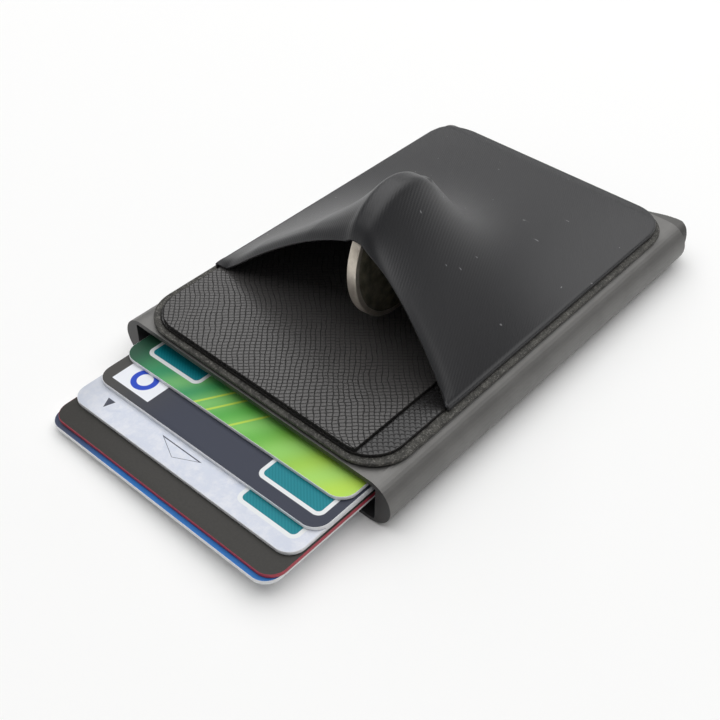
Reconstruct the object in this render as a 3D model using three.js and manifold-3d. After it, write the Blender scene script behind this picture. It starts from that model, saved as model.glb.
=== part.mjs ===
// A minimalist card wallet: an extruded aluminium sleeve whose push button throws the cards out,
// with a leather pad and an elastic cloth pocket glued on top. Millimetres, +Z up.
// X is across the width, Y runs from the open end (-Y) to the button end (+Y), and the origin is
// the centre of the sleeve's underside. The cards are fanned out and the button is released.
import * as THREE from "three";
import { mergeVertices } from "three/addons/utils/BufferGeometryUtils.js";
import Module from "manifold-3d";

const wasm = await Module();
wasm.setup();

// Sleeve
const CASE = { length: 92.5, width: 63.8, height: 9.25 };
const SLOT = { width: 57.4, floor: 0.85, ceiling: 8.3, corner: 0.5 };
const SKIN = 0.7; // wall left outside the button's end pocket
const ROUND = 6; // curve segments on each quarter of its round sides
const MOUTH = -CASE.length / 2; // y of the open end
const END = CASE.length / 2; // y of the button end
const LOBE_POCKET = { left: 26, rear: MOUTH + 89.9 }; // the end pocket that the button's lobe sinks into
const FIT = 0.05; // gap of a glued or pressed joint
const GAP = 0.3; // gap of a loose joint

// Cards, listed from the bottom of the stack: how far each stands out of the mouth, and its shift in x
const CARD = { width: 53.98, length: 85.6, thickness: 0.76, corner: 3.18 };
const STACK = { underside: 2, pitch: 0.86, roll: 0.036 };
const FAN = [
  { out: 22.2, shift: 0, color: 0x2f6db5 },
  { out: 21.3, shift: 0.24, color: 0x4d4c49 },
  { out: 16.9, shift: -0.09, color: 0xdde0e8 },
  { out: 11.4, shift: 0.1, color: 0x3e4150 },
  { out: 4.8, shift: -0.38, color: 0x9acb6a },
];
const HOME_INSET = 0.6; // a card pushed home lies this far inside the mouth

// Ejector: a stepped lever on a pin near the button end's right corner, pushed by the button
const PIVOT = { x: 24, y: MOUTH + 88.4 };
const PIN_RADIUS = 0.6;
const BORE_RADIUS = 0.66;
const HUB = { radius: 1.75, bottom: 1.9, top: 7.35 };
const ARM = { back: 0.8, front: 1.8, bottom: 1.15, bite: 0.42, top: 6.9 };
const THROW = THREE.MathUtils.degToRad(29);
const PLATE = { left: 4, padLeft: 20, right: 26.6, strip: 1.35, pad: 3.2, thickness: 0.65 };
const WALL = { thickness: 1.6, inset: 0.3, right: 14.7 };
const SNAP_ARM = { length: 10, thickness: 0.7, bottom: 2.2, top: 7 };

// Push button
const LOBE = { left: 15.4, right: 31, rear: MOUTH + 93.65, tip: MOUTH + 96.4, inset: 1 };
const ROOT = { right: 19.6, rear: MOUTH + 91.4 }; // the lobe's thick left end, above the prong
const PRONG = { left: 15.4, right: 18, rear: MOUTH + 89.5, bottom: 2.2, top: 6.8 };
const GUIDE = { left: 28.3, right: 30.6, rear: MOUTH + 83, bottom: 2.9, top: 6.3 };
const SPRING_POCKET = { left: 27.9, right: 30.95, rear: MOUTH + 74.2, bottom: 2.6, top: 6.6 };
const SPRING = { radius: 1.05, wire: 0.18, turns: 8, coilSteps: 12 };

// Felt brake strips on the sleeve's floor and ceiling
const FELT = { width: 10, start: MOUTH + 9, length: 52, x: 17 };
const LOWER_FELT = 1.4; // thickness of the strip under the stack, at its right
const UPPER_FELT = 2.3; // thickness of the strip over the stack, at its left

// Pad glued on the sleeve: adhesive film, backing board, inner leather and outer leather panel
const PAD = { halfWidth: 29, near: MOUTH + 0.3, far: MOUTH + 91.3, corner: 8, layerCorner: 6.8 };
const ADHESIVE = { bottom: 9.3, thickness: 0.18, inset: 1.6 };
const BOARD = { bottom: 9.53, thickness: 0.7 };
const INNER_LEATHER = { bottom: 10.28, thickness: 0.55, inset: 1.6, nearInset: 1 };
const PANEL = { bottom: 10.88, thickness: 0.55, left: -26.9, right: 22.8, edge: 0.15, far: MOUTH + 88 };

// Elastic cloth pocket over the pad, and the coin that stands on edge under it
const CLOTH = { halfWidth: 27.95, skirt: 0.45, thickness: 0.5, bottom: 10.3, corner: 7.3 };
const CLOTH_FAR = MOUTH + 90.8;
const CLOTH_CELL = 2.4; // spacing of the cloth's grid
const CLOTH_ROWS = 34;
const RELAXATION = { passes: 700, push: 1.7 };
const OPENING = { side: MOUTH + 19, lean: 0.18, leftFlat: 2.3, leftCurve: 1.2, rightCurve: 1.6 };
const COIN = { radius: 12.4, thickness: 1.85, x: 4, y: MOUTH + 33, turn: 0.07, tilt: 0.07 };
const COIN_FACE = { rim: 0.9, slope: 0.2, recess: 0.12, bevel: 0.18 };
const COIN_ROOM = { above: 0.4, beside: 1 };
const CREST = { x: 4.2, z: 31 };
const RIDGE = {
  x: 3.4,
  lean: -0.6,
  start: MOUTH + 41.8,
  startZ: 34,
  end: MOUTH + 59.5,
  endZ: 12.2,
  halfWidth: 0.9,
};

const root = new THREE.Group();

// Turns a closed geometry into a manifold-3d solid.
function solid(geometry) {
  const bare = geometry.clone();
  bare.deleteAttribute("normal");
  bare.deleteAttribute("uv");
  const merged = mergeVertices(bare, 1e-5);
  return new wasm.Manifold(
    new wasm.Mesh({
      numProp: 3,
      vertProperties: Float32Array.from(merged.getAttribute("position").array),
      triVerts: Uint32Array.from(merged.index.array),
    }),
  );
}

// Turns a manifold-3d solid into a geometry.
function geometryOf(manifold) {
  const mesh = manifold.getMesh();
  const geometry = new THREE.BufferGeometry();
  geometry.setAttribute("position", new THREE.BufferAttribute(mesh.vertProperties, 3));
  geometry.setIndex(new THREE.BufferAttribute(mesh.triVerts, 1));
  geometry.computeVertexNormals();
  return geometry;
}

// Adds a named mesh to a group.
function add(name, geometry, look, parent = root) {
  const mesh = new THREE.Mesh(geometry, new THREE.MeshStandardMaterial(look));
  mesh.name = name;
  parent.add(mesh);
  return mesh;
}

// Extrudes an outline drawn in x and y, from z = bottom upwards.
function slab(outline, bottom, thickness, curveSegments = 8) {
  const geometry = new THREE.ExtrudeGeometry(outline, {
    depth: thickness,
    bevelEnabled: false,
    curveSegments,
  });
  return geometry.translate(0, 0, bottom);
}

// Extrudes an outline drawn in x and z, from y = near to y = far.
function bar(outline, near, far, curveSegments = 10) {
  const geometry = new THREE.ExtrudeGeometry(outline, {
    depth: far - near,
    bevelEnabled: false,
    curveSegments,
  });
  return geometry.rotateX(Math.PI / 2).translate(0, far, 0);
}

// A box between two corners.
function block(x0, x1, y0, y1, z0, z1) {
  const box = new THREE.BoxGeometry(x1 - x0, y1 - y0, z1 - z0);
  return box.translate((x0 + x1) / 2, (y0 + y1) / 2, (z0 + z1) / 2);
}

// A rectangle with one radius for its two lower corners and one for its two upper corners.
function roundedRectangle(left, right, low, high, lowRadius, highRadius = lowRadius) {
  const outline = new THREE.Shape();
  const quarter = Math.PI / 2;
  outline.moveTo(left + lowRadius, low);
  outline.lineTo(right - lowRadius, low);
  outline.absarc(right - lowRadius, low + lowRadius, lowRadius, -quarter, 0);
  outline.lineTo(right, high - highRadius);
  outline.absarc(right - highRadius, high - highRadius, highRadius, 0, quarter);
  outline.lineTo(left + highRadius, high);
  outline.absarc(left + highRadius, high - highRadius, highRadius, quarter, 2 * quarter);
  outline.lineTo(left, low + lowRadius);
  outline.absarc(left + lowRadius, low + lowRadius, lowRadius, 2 * quarter, 3 * quarter);
  return outline;
}

// The sleeve's outer section with its round sides, moved inwards by an inset.
function sleeveSection(inset) {
  const half = CASE.width / 2 - inset;
  const radius = CASE.height / 2 - inset - 0.001;
  return roundedRectangle(-half, half, inset, CASE.height - inset, radius);
}

function makeSleeve() {
  const outer = solid(bar(sleeveSection(0), MOUTH, END, ROUND));
  const half = SLOT.width / 2;
  const slotSection = roundedRectangle(-half, half, SLOT.floor, SLOT.ceiling, SLOT.corner);
  const slot = solid(bar(slotSection, MOUTH - 1, END + 1, 3));
  const wide = solid(bar(sleeveSection(SKIN), LOBE_POCKET.rear, END + 1, ROUND));
  const rightPart = block(LOBE_POCKET.left, CASE.width, MOUTH, END + 2, 0, CASE.height);
  const lobeSide = wide.intersect(solid(rightPart));
  const pocket = SPRING_POCKET;
  const spring = solid(
    block(pocket.left, pocket.right, pocket.rear, END - 1, pocket.bottom, pocket.top),
  );
  const sleeve = outer.subtract(slot).subtract(lobeSide).subtract(spring);
  add("case_sleeve", geometryOf(sleeve), { color: 0x55534f, roughness: 0.42, metalness: 0.75 });
}

function makeEndCap() {
  const half = SLOT.width / 2 - FIT;
  const outerY = END - WALL.inset;
  const innerY = outerY - WALL.thickness;
  const plateNear = PIVOT.y - HUB.radius;
  const low = SLOT.floor + FIT;
  const high = SLOT.ceiling - FIT;
  const plates = [
    [low, low + PLATE.thickness],
    [high - PLATE.thickness, high],
  ];
  let cap = solid(block(-half, WALL.right, innerY, outerY, low, high));
  for (const [z0, z1] of plates) {
    const { left, padLeft, right, strip, pad } = PLATE;
    cap = cap.add(solid(block(left, right, plateNear, plateNear + strip, z0, z1)));
    cap = cap.add(solid(block(padLeft, right, plateNear, plateNear + pad, z0, z1)));
    cap = cap.add(solid(block(left, WALL.right, plateNear, innerY + 0.2, z0, z1)));
  }
  const snap = SNAP_ARM;
  const snapArm = block(-half, snap.thickness - half, innerY - snap.length, innerY + 0.2, snap.bottom, snap.top);
  cap = cap.add(solid(snapArm));
  const fitted = roundedRectangle(-half, SLOT.width / 2 - FIT, low, high, SLOT.corner);
  cap = cap.intersect(solid(bar(fitted, MOUTH, END, 3)));
  const hole = new THREE.CylinderGeometry(PIN_RADIUS + FIT, PIN_RADIUS + FIT, CASE.height, 24);
  hole.rotateX(Math.PI / 2).translate(PIVOT.x, PIVOT.y, CASE.height / 2);
  add("end_cap", geometryOf(cap.subtract(solid(hole))), { color: 0x1b1b1c, roughness: 0.6 });
}

function makePin() {
  const length = SLOT.ceiling - SLOT.floor - 4 * FIT;
  const pin = new THREE.CylinderGeometry(PIN_RADIUS, PIN_RADIUS, length, 24);
  pin.rotateX(Math.PI / 2);
  const mesh = add("lever_pin", pin, { color: 0xb8b8b6, roughness: 0.3, metalness: 1 });
  mesh.position.set(PIVOT.x, PIVOT.y, (SLOT.floor + SLOT.ceiling) / 2);
}

// How high a card's underside is at x.
function undersideOf(level, x) {
  return STACK.underside + level * STACK.pitch + STACK.roll * x;
}

// The lever lies along -X from its pin when released. Each step is long enough to push its own card
// out by its share of the fan, and stops short of the underside of the card above.
function makeLever() {
  const middle = (ARM.back - ARM.front) / 2;
  const halfWidth = (ARM.back + ARM.front) / 2;
  const cardEnd = MOUTH + CARD.length;
  let lever = solid(
    new THREE.CylinderGeometry(HUB.radius, HUB.radius, HUB.top - HUB.bottom, 32)
      .rotateX(Math.PI / 2)
      .translate(0, 0, (HUB.bottom + HUB.top) / 2),
  );
  FAN.forEach((card, level) => {
    const reach = PIVOT.y + middle * Math.cos(THROW) - halfWidth - (cardEnd - card.out) - GAP;
    const radius = reach / Math.sin(THROW);
    const contactX = PIVOT.x - radius * Math.cos(THROW);
    const isTop = level === FAN.length - 1;
    const top = isTop ? ARM.top : undersideOf(level, contactX) + ARM.bite;
    const step = new THREE.Shape();
    step.moveTo(0, middle - halfWidth);
    step.lineTo(0, middle + halfWidth);
    step.lineTo(-radius, middle + halfWidth);
    step.absarc(-radius, middle, halfWidth, Math.PI / 2, 1.5 * Math.PI);
    step.closePath();
    lever = lever.add(solid(slab(step, ARM.bottom, top - ARM.bottom, 5)));
  });
  const overPlate = PLATE.left - PIVOT.x - GAP;
  const notch = solid(block(overPlate, HUB.radius + 1, -5, 5, 0, HUB.bottom));
  const bore = new THREE.CylinderGeometry(BORE_RADIUS, BORE_RADIUS, 2 * CASE.height, 24);
  lever = lever.subtract(notch).subtract(solid(bore.rotateX(Math.PI / 2)));
  const mesh = add("ejector_lever", geometryOf(lever), { color: 0x2a2a2c, roughness: 0.5 });
  mesh.position.set(PIVOT.x, PIVOT.y, 0);
}

function makeButton() {
  const outline = new THREE.Shape();
  outline.moveTo(LOBE.left, ROOT.rear);
  outline.lineTo(ROOT.right, ROOT.rear);
  outline.lineTo(ROOT.right, LOBE.rear);
  outline.lineTo(LOBE.right, LOBE.rear);
  outline.bezierCurveTo(LOBE.right, LOBE.tip - 0.9, 29.8, LOBE.tip, 27.9, LOBE.tip);
  outline.bezierCurveTo(26.6, LOBE.tip, 25.4, LOBE.tip - 0.25, 24.2, LOBE.tip - 0.68);
  outline.lineTo(LOBE.left + 1.2, MOUTH + 93.1);
  outline.bezierCurveTo(LOBE.left + 0.6, MOUTH + 92.9, LOBE.left, MOUTH + 92.6, LOBE.left, END - 0.2);
  outline.closePath();
  const section = sleeveSection(LOBE.inset);
  const low = SLOT.floor + GAP;
  const high = SLOT.ceiling - GAP;
  let button = solid(slab(outline, low, high - low, 10));
  button = button.intersect(solid(bar(section, MOUTH, MOUTH + 100, ROUND)));
  const legs = [
    [PRONG, ROOT.rear + 0.4],
    [GUIDE, LOBE.rear + 0.4],
  ];
  for (const [leg, front] of legs) {
    const shape = block(leg.left, leg.right, leg.rear, front, leg.bottom, leg.top);
    button = button.add(solid(shape));
  }
  add("push_button", geometryOf(button), { color: 0x4b4a47, roughness: 0.42, metalness: 0.7 });
}

// A helix along Y.
class Helix extends THREE.Curve {
  constructor(radius, length, turns) {
    super();
    Object.assign(this, { radius, length, turns });
  }
  getPoint(t, target = new THREE.Vector3()) {
    const angle = 2 * Math.PI * this.turns * t;
    const { radius, length } = this;
    return target.set(radius * Math.cos(angle), length * t, radius * Math.sin(angle));
  }
}

function makeSpring() {
  const pocket = SPRING_POCKET;
  const start = pocket.rear + SPRING.wire + FIT;
  const length = GUIDE.rear - SPRING.wire - FIT - start;
  const wire = new THREE.Shape().absarc(0, 0, SPRING.wire, 0, 2 * Math.PI);
  const coil = new THREE.ExtrudeGeometry(wire, {
    extrudePath: new Helix(SPRING.radius, length, SPRING.turns),
    steps: SPRING.turns * SPRING.coilSteps,
    curveSegments: 3,
    bevelEnabled: false,
  });
  const mesh = add("return_spring", coil, { color: 0xa8a8a4, roughness: 0.3, metalness: 1 });
  const x = (pocket.left + pocket.right) / 2;
  mesh.position.set(x, start, (pocket.bottom + pocket.top) / 2);
}

function makeBrakes() {
  const half = FELT.width / 2;
  const far = FELT.start + FELT.length;
  const floor = SLOT.floor + FIT;
  const ceiling = SLOT.ceiling - FIT;
  const look = { color: 0x1c1c1d, roughness: 0.95 };
  const lower = block(FELT.x - half, FELT.x + half, FELT.start, far, floor, floor + LOWER_FELT);
  const upper = block(-FELT.x - half, half - FELT.x, FELT.start, far, ceiling - UPPER_FELT, ceiling);
  add("lower_brake_felt", lower, look);
  add("upper_brake_felt", upper, look);
}

function makeCards() {
  const stack = new THREE.Group();
  stack.rotation.y = -STACK.roll;
  root.add(stack);
  const half = CARD.width / 2;
  const outline = roundedRectangle(-half, half, 0, CARD.length, CARD.corner);
  FAN.forEach((card, level) => {
    const look = { color: card.color, roughness: 0.35 };
    const mesh = add(`card_${level + 1}`, slab(outline, 0, CARD.thickness, 10), look, stack);
    mesh.position.set(card.shift, MOUTH - card.out, STACK.underside + level * STACK.pitch);
  });
}

// A pad layer's outline, moved inwards from the pad's own.
function padOutline(inset, nearInset = inset) {
  const half = PAD.halfWidth - inset;
  return roundedRectangle(-half, half, PAD.near + nearInset, PAD.far - nearInset, PAD.layerCorner);
}

function makePad() {
  const film = slab(padOutline(ADHESIVE.inset), ADHESIVE.bottom, ADHESIVE.thickness);
  add("adhesive_film", film, { color: 0x2b2b2b, roughness: 0.9 });
  const board = roundedRectangle(-PAD.halfWidth, PAD.halfWidth, PAD.near, PAD.far, PAD.corner);
  add("backing_board", slab(board, BOARD.bottom, BOARD.thickness, 12), { color: 0x4b4a44, roughness: 0.55 });
  const { bottom, thickness, inset, nearInset } = INNER_LEATHER;
  add("inner_leather", slab(padOutline(inset, nearInset), bottom, thickness), {
    color: 0x2a2827,
    roughness: 0.6,
  });
  makePanel();
}

// The outer leather panel follows the inner leather's near corners and stops short on the right,
// where the slot between the two opens.
function makePanel() {
  const { edge, left, right, far } = PANEL;
  const radius = PAD.layerCorner - edge;
  const near = PAD.near + INNER_LEATHER.nearInset + edge;
  const cornerX = PAD.halfWidth - INNER_LEATHER.inset - edge - radius;
  const cornerY = near + radius;
  const outline = new THREE.Shape();
  outline.moveTo(left + radius, near);
  outline.lineTo(cornerX, near);
  const cut = -Math.acos((right - cornerX) / radius);
  outline.absarc(cornerX, cornerY, radius, -Math.PI / 2, cut);
  outline.lineTo(right, far);
  outline.lineTo(left + radius, far);
  outline.absarc(left + radius, far - radius, radius, Math.PI / 2, Math.PI);
  outline.lineTo(left, cornerY);
  outline.absarc(left + radius, cornerY, radius, Math.PI, 1.5 * Math.PI);
  add("outer_leather_panel", slab(outline, PANEL.bottom, PANEL.thickness), {
    color: 0x2c2a29,
    roughness: 0.55,
  });
}

const panelTop = PANEL.bottom + PANEL.thickness;
const innerLeatherTop = INNER_LEATHER.bottom + INNER_LEATHER.thickness;
const coinCentre = new THREE.Vector3(
  COIN.x,
  COIN.y,
  panelTop + FIT + COIN.radius * Math.cos(COIN.tilt) + (COIN.thickness / 2) * Math.sin(COIN.tilt),
);
const coinNormal = new THREE.Vector3(
  Math.cos(COIN.tilt) * Math.cos(COIN.turn),
  Math.cos(COIN.tilt) * Math.sin(COIN.turn),
  Math.sin(COIN.tilt),
);

function makeCoin() {
  const { rim, slope, recess, bevel } = COIN_FACE;
  const { radius, thickness } = COIN;
  const half = thickness / 2;
  const upper = [
    [radius, half - bevel],
    [radius - bevel, half],
    [radius - rim, half],
    [radius - rim - slope, half - recess],
    [0, half - recess],
  ];
  const lower = upper.map(([x, y]) => [x, -y]).reverse();
  const profile = [...lower, ...upper].map(([x, y]) => new THREE.Vector2(x, y));
  const coin = new THREE.LatheGeometry(profile, 64);
  const mesh = add("coin", coin, { color: 0xb9ab98, roughness: 0.35, metalness: 0.9 });
  mesh.quaternion.setFromUnitVectors(new THREE.Vector3(0, 1, 0), coinNormal);
  mesh.position.copy(coinCentre);
}

const borderTop = innerLeatherTop + FIT + CLOTH.thickness;

// How high the pocket's free edge arches at x: from the pad's sides to a crest on the coin. On the
// left it first lies flat on the leather for a little way.
function archHeight(x) {
  const onLeft = x < CREST.x;
  const foot = onLeft ? OPENING.leftFlat - CLOTH.halfWidth : CLOTH.halfWidth;
  const t = Math.max(0, (x - foot) / (CREST.x - foot));
  const curve = onLeft ? OPENING.leftCurve : OPENING.rightCurve;
  return borderTop + (CREST.z - borderTop) * (1 - (1 - t) ** curve);
}

// The lowest height that the cloth's outer face may have: over the pad, the coin and the taut ridge.
function supportHeight(x, y) {
  const overPanel = x < PANEL.right + 1.5 * CLOTH_CELL && y < PANEL.far + CLOTH_CELL;
  let z = (overPanel ? panelTop : innerLeatherTop) + FIT + CLOTH.thickness;
  const alongPlane = y - coinCentre.y;
  const planeX = coinCentre.x - alongPlane * Math.tan(COIN.turn);
  const up = Math.sqrt(Math.max(0, COIN.radius ** 2 - alongPlane ** 2));
  const beside = Math.abs(x - planeX + up * Math.sin(COIN.tilt));
  if (up > 0 && beside < COIN.thickness / 2 + COIN_ROOM.beside)
    z = Math.max(z, coinCentre.z + up + COIN_ROOM.above + CLOTH.thickness);
  const along = (y - RIDGE.start) / (RIDGE.end - RIDGE.start);
  if (along >= 0 && along <= 1 && Math.abs(x - RIDGE.x - along * RIDGE.lean) < RIDGE.halfWidth)
    z = Math.max(z, RIDGE.startZ + along * (RIDGE.endZ - RIDGE.startZ));
  return z;
}

// Grid lines across the cloth, closer together over the coin and along the sides.
function gridX() {
  const lines = [];
  for (let x = -CLOTH.halfWidth; x < CLOTH.halfWidth; ) {
    lines.push(x);
    const overCoin = Math.abs(x - COIN.x) < COIN.radius / 2;
    const atSide = CLOTH.halfWidth - Math.abs(x) < 3 * CLOTH.skirt;
    x += overCoin || atSide ? CLOTH_CELL / 3 : CLOTH_CELL;
  }
  lines.push(CLOTH.halfWidth);
  return lines;
}

// The stretched cloth as heights on a grid: an elastic membrane held at its edges, pushed up where
// it meets its supports, found by relaxation.
function stretchCloth() {
  const xs = gridX();
  const rows = CLOTH_ROWS;
  const ys = xs.map((x) => {
    const start = OPENING.side + OPENING.lean * (archHeight(x) - borderTop);
    return Array.from({ length: rows + 1 }, (_, j) => start + ((CLOTH_FAR - start) * j) / rows);
  });
  const zs = xs.map((x, i) =>
    ys[i].map((y, j) => (j === 0 ? Math.max(archHeight(x), supportHeight(x, y)) : supportHeight(x, y))),
  );
  for (let pass = 0; pass < RELAXATION.passes; pass += 1) {
    for (let i = 1; i < xs.length - 1; i += 1) {
      for (let j = 1; j < rows; j += 1) {
        const left = xs[i] - xs[i - 1];
        const right = xs[i + 1] - xs[i];
        const near = ys[i][j] - ys[i][j - 1];
        const far = ys[i][j + 1] - ys[i][j];
        const acrossX = (zs[i - 1][j] / left + zs[i + 1][j] / right) / (left + right);
        const acrossY = (zs[i][j - 1] / near + zs[i][j + 1] / far) / (near + far);
        const pull = 1 / (left * right) + 1 / (near * far);
        const flat = (acrossX + acrossY) / pull;
        const next = zs[i][j] + RELAXATION.push * (flat - zs[i][j]);
        zs[i][j] = Math.max(next, supportHeight(xs[i], ys[i][j]));
      }
    }
  }
  return { xs, ys, zs };
}

// A closed solid under a grid of heights, down to a flat bottom. place(i, j) gives a point's x, y, z.
function solidUnder(columns, rows, place, bottom) {
  const points = [];
  const faces = [];
  for (let i = 0; i < columns; i += 1)
    for (let j = 0; j < rows; j += 1) {
      const [x, y, z] = place(i, j);
      points.push(x, y, z, x, y, bottom);
    }
  const at = (i, j, low) => 2 * (i * rows + j) + low;
  const quad = (a, b, c, d) => faces.push(a, b, c, a, c, d);
  for (let i = 0; i < columns - 1; i += 1)
    for (let j = 0; j < rows - 1; j += 1) {
      quad(at(i, j, 0), at(i + 1, j, 0), at(i + 1, j + 1, 0), at(i, j + 1, 0));
      quad(at(i, j, 1), at(i, j + 1, 1), at(i + 1, j + 1, 1), at(i + 1, j, 1));
    }
  for (let i = 0; i < columns - 1; i += 1) {
    quad(at(i, 0, 0), at(i, 0, 1), at(i + 1, 0, 1), at(i + 1, 0, 0));
    quad(at(i, rows - 1, 0), at(i + 1, rows - 1, 0), at(i + 1, rows - 1, 1), at(i, rows - 1, 1));
  }
  for (let j = 0; j < rows - 1; j += 1) {
    quad(at(0, j, 0), at(0, j + 1, 0), at(0, j + 1, 1), at(0, j, 1));
    quad(at(columns - 1, j, 0), at(columns - 1, j, 1), at(columns - 1, j + 1, 1), at(columns - 1, j + 1, 0));
  }
  return new wasm.Manifold(
    new wasm.Mesh({
      numProp: 3,
      vertProperties: Float32Array.from(points),
      triVerts: Uint32Array.from(faces),
    }),
  );
}

function makePocket() {
  const { xs, ys, zs } = stretchCloth();
  const columns = xs.length;
  const rows = ys[0].length;
  const outer = solidUnder(columns, rows, (i, j) => [xs[i], ys[i][j], zs[i][j]], CLOTH.bottom);
  const inward = (CLOTH.halfWidth - CLOTH.skirt) / CLOTH.halfWidth;
  const ahead = 3; // the hollow runs out past the free edge
  const hollow = (i, j) => {
    const row = Math.max(j - 1, 0);
    const y = j === 0 ? ys[i][0] - ahead : ys[i][row];
    return [xs[i] * inward, y, zs[i][row] - CLOTH.thickness];
  };
  const inner = solidUnder(columns, rows + 1, hollow, CLOTH.bottom - 1);
  const plan = (inset, near) => {
    const half = CLOTH.halfWidth - inset;
    const outline = roundedRectangle(-half, half, near, CLOTH_FAR - inset, 0.01, CLOTH.corner - inset);
    return solid(slab(outline, 0, 60));
  };
  const skin = outer.intersect(plan(0, MOUTH)).subtract(inner.intersect(plan(CLOTH.skirt, MOUTH - 5)));
  add("elastic_pocket", geometryOf(skin), { color: 0x141416, roughness: 0.85 });
}

makeSleeve();
makeEndCap();
makePin();
makeLever();
makeButton();
makeSpring();
makeBrakes();
makeCards();
makePad();
makeCoin();
makePocket();

export default root;
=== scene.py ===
"""The looks of the minimalist wallet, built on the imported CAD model.

The row frame has X across the sleeve, Y from its open end to its button end, and Z up. Lengths
are in millimetres, times MM where Blender takes them, and angles are in radians, unless a comment
says otherwise.
"""

import math

import bmesh
import bpy
import numpy as np
from mathutils import Matrix, Vector


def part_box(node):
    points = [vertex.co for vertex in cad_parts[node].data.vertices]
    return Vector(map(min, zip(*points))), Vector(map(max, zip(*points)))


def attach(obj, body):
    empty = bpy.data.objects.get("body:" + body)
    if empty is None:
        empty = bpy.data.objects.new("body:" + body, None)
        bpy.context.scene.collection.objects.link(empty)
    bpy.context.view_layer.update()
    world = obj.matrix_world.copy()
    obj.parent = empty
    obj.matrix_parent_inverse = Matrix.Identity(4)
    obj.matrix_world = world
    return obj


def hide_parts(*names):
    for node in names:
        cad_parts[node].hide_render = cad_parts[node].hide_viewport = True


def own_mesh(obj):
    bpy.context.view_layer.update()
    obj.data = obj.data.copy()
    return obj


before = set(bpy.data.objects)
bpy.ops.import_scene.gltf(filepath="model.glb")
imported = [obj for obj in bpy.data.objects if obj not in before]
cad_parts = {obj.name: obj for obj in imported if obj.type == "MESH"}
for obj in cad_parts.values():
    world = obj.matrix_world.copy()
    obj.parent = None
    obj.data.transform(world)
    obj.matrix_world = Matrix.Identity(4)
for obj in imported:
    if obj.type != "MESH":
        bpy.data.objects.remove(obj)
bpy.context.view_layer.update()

MM = 0.001


def box_mm(node):
    """A CAD node's lowest and highest corners in millimetres."""
    low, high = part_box(node)
    return np.array(low) / MM, np.array(high) / MM


(_, MOUTH, _), (_, END, _) = box_mm("case_sleeve")  # y of the sleeve's open end and button end

# The CAD solids that stay
SLOT_HALF_WIDTH = 28.75  # just inside the card slot's walls, floor and ceiling
SLOT_HEIGHTS = (0.84, 8.31)
RIM_DEPTH = 0.1  # what lies this close to an end of the sleeve is its rim
CASTING_LEFT = 12  # right of this x the button's casting covers the far rim
INSERT_DEPTH = 3  # how much of the end cap can be seen from the button end
SHARP_ANGLE = math.radians(35)
EDGE_ROUNDING = 0.12
JOIN_DISTANCE = 0.002

# The fan of cards, from the bottom card up
CARD_SIZE = (53.98, 85.6, 0.76)
CARD_CORNER = 3.18
CARD_EDGE_RADIUS = 0.07
STACK_UNDERSIDE = 2.0
STACK_PITCH = 0.86
STACK_ROLL = 0.036
CARD_OUT = (22.2, 21.3, 16.9, 11.4, 4.8)
CARD_SHIFT = (0, 0.24, -0.09, 0.1, -0.38)
PRINT_BLUR = 0.05  # half the width of the change from one printed colour to the next
CARD_SLOTS = ("card_blue", "card_brown", "card_light", "card_slate", "card_green")

# Pad layers
BOARD_CORNER = 8.0
BOARD_EDGE_RADIUS = 0.22
LEATHER_CORNER = 6.8
LOWER_EDGE_RADIUS = 0.18
UPPER_EDGE_RADIUS = 0.16
PANEL_INSET = 0.15  # how far the upper leather's cut stays inside the lower one's
PANEL_SIDE_WOBBLE = 0.06
PANEL_POINT_SPACING = 0.35
CORNER_STEPS = 18

# The grain of the two leathers, as leather() takes it
LOWER_GRAIN = {
    "dark": (0.012, 0.0115, 0.012),
    "light": (0.022, 0.021, 0.021),
    "shine": 0.2,
    "turn": 47,
    "pitches": (0.8, 0.9),
    "short_depth": 0.3,
    "scallop": 0.32,
}
UPPER_GRAIN = {
    "dark": (0.018, 0.0171, 0.0169),
    "light": (0.082, 0.078, 0.0762),
    "shine": 0.33,
    "turn": -43,
    "pitches": (0.92, 0.78),
    "short_depth": 1.0,
    "scallop": 0.0,
}

# The stretched cloth
CLOTH_HALF_WIDTH = 27.9
CLOTH_FAR_CORNER = 7.3
CLOTH_THICKNESS = 0.42
CLOTH_EDGE_RADIUS = 0.45
CLOTH_GAP = 0.06
CLOTH_COLUMNS = 141
CLOTH_ROWS = 104
OPENING_SIDE = 19.0  # how far behind the mouth the free edge meets the pad's sides
OPENING_LEAN = 0.18
OPENING_LEFT_FLAT = 2.3
OPENING_CURVES = (1.45, 1.6)
CREST_X = 4.2
CREST_Z = 30.8
SHOULDER_WIDTH = 1.7  # beside the coin's rim the cloth rounds off over this width
SHOULDER_DROP = 1.3
RIM_CLEARANCE = 0.3
PAD_STEP_WIDTH = 1.2  # the cloth comes down over the panel's edge across this width
RIDGE = {"start": 41.8, "x": 3.4, "z": 33.9, "end": 59.5, "end_x": 2.8, "end_z": 12.2}
RIDGE_HALF_WIDTH = 0.8
MEMBRANE_PASSES = 2600
OVER_RELAXATION = 1.9
HEM_ROWS = (0, 0.12, 0.3, 0.5, 0.8, 1.1, 1.4, 1.8, 2.2, 2.6)  # distances from the free edge
HEM_WIDTH = 2.6
HEM_STEP = 1.2  # the hem's rise fades out over this much of its width
HEM_RISE = 0.1
HEM_DROP = 0.45  # how far the free edge itself rolls down
HEM_ROLL_WIDTH = 1.1
LIFT_HEIGHT = 3  # cloth that stands this far off the pad rolls down fully
# Left of the coin the cloth bulges up behind its free edge
LEFT_ROLL = {"width": 3.0, "height": 1.2, "past_crest": 3, "right_fade": 8, "left_fade": 9}
TURN_DOWN = (22, 45, 68, 90)  # degrees through which the cloth's borders roll down
TURNED_LENGTH = 1.6  # how much cloth the roll takes for its width seen from above

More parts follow.
